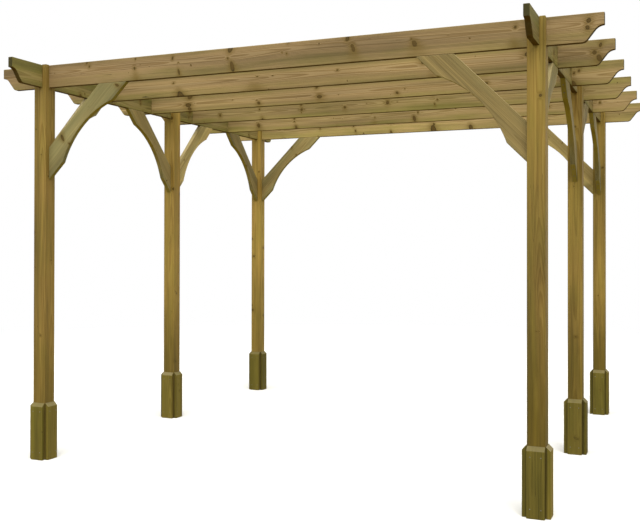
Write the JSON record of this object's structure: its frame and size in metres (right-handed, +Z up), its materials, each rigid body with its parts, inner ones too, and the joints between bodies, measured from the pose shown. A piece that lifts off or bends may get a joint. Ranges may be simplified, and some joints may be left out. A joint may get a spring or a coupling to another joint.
{
  "type": "wooden pergola",
  "caption": "Open timber pergola: notched posts with boarded feet carry side beams and cross-halved rafters with scrolled ends, stiffened by knee braces.",
  "frame": {"origin": "on the ground at the centre of the plan", "axes": "+Z up, +X to the right along the rafters, +Y from the front to the rear along the side beams"},
  "size_m": [3.58, 3.58, 2.4],
  "materials": {
    "post_wood": "pressure-treated sawn softwood, matt",
    "foot_wood": "pressure-treated sawn softwood, dark green-brown, matt",
    "timber_wood": "pressure-treated planed softwood, matt",
    "brace_wood": "pressure-treated planed softwood, matt"
  },
  "bodies": {
    "root": {"post_front_left": "post_wood", "post_front_right": "post_wood", "post_middle_left": "post_wood", "post_middle_right": "post_wood", "post_rear_left": "post_wood", "post_rear_right": "post_wood", "foot_boards_front_left": "foot_wood", "foot_boards_front_right": "foot_wood", "foot_boards_middle_left": "foot_wood", "foot_boards_middle_right": "foot_wood", "foot_boards_rear_left": "foot_wood", "foot_boards_rear_right": "foot_wood", "side_beam_left": "timber_wood", "side_beam_right": "timber_wood", "rafter_1": "timber_wood", "rafter_2": "timber_wood", "rafter_3": "timber_wood", "rafter_4": "timber_wood", "rafter_5": "timber_wood", "rafter_6": "timber_wood", "brace_front_left_rafter": "brace_wood", "brace_front_left_beam": "brace_wood", "brace_front_right_rafter": "brace_wood", "brace_front_right_beam": "brace_wood", "brace_rear_left_rafter": "brace_wood", "brace_rear_left_beam": "brace_wood", "brace_rear_right_rafter": "brace_wood", "brace_rear_right_beam": "brace_wood", "brace_middle_left_front": "brace_wood", "brace_middle_left_rear": "brace_wood", "brace_middle_right_front": "brace_wood", "brace_middle_right_rear": "brace_wood"}
  },
  "joints": []
}
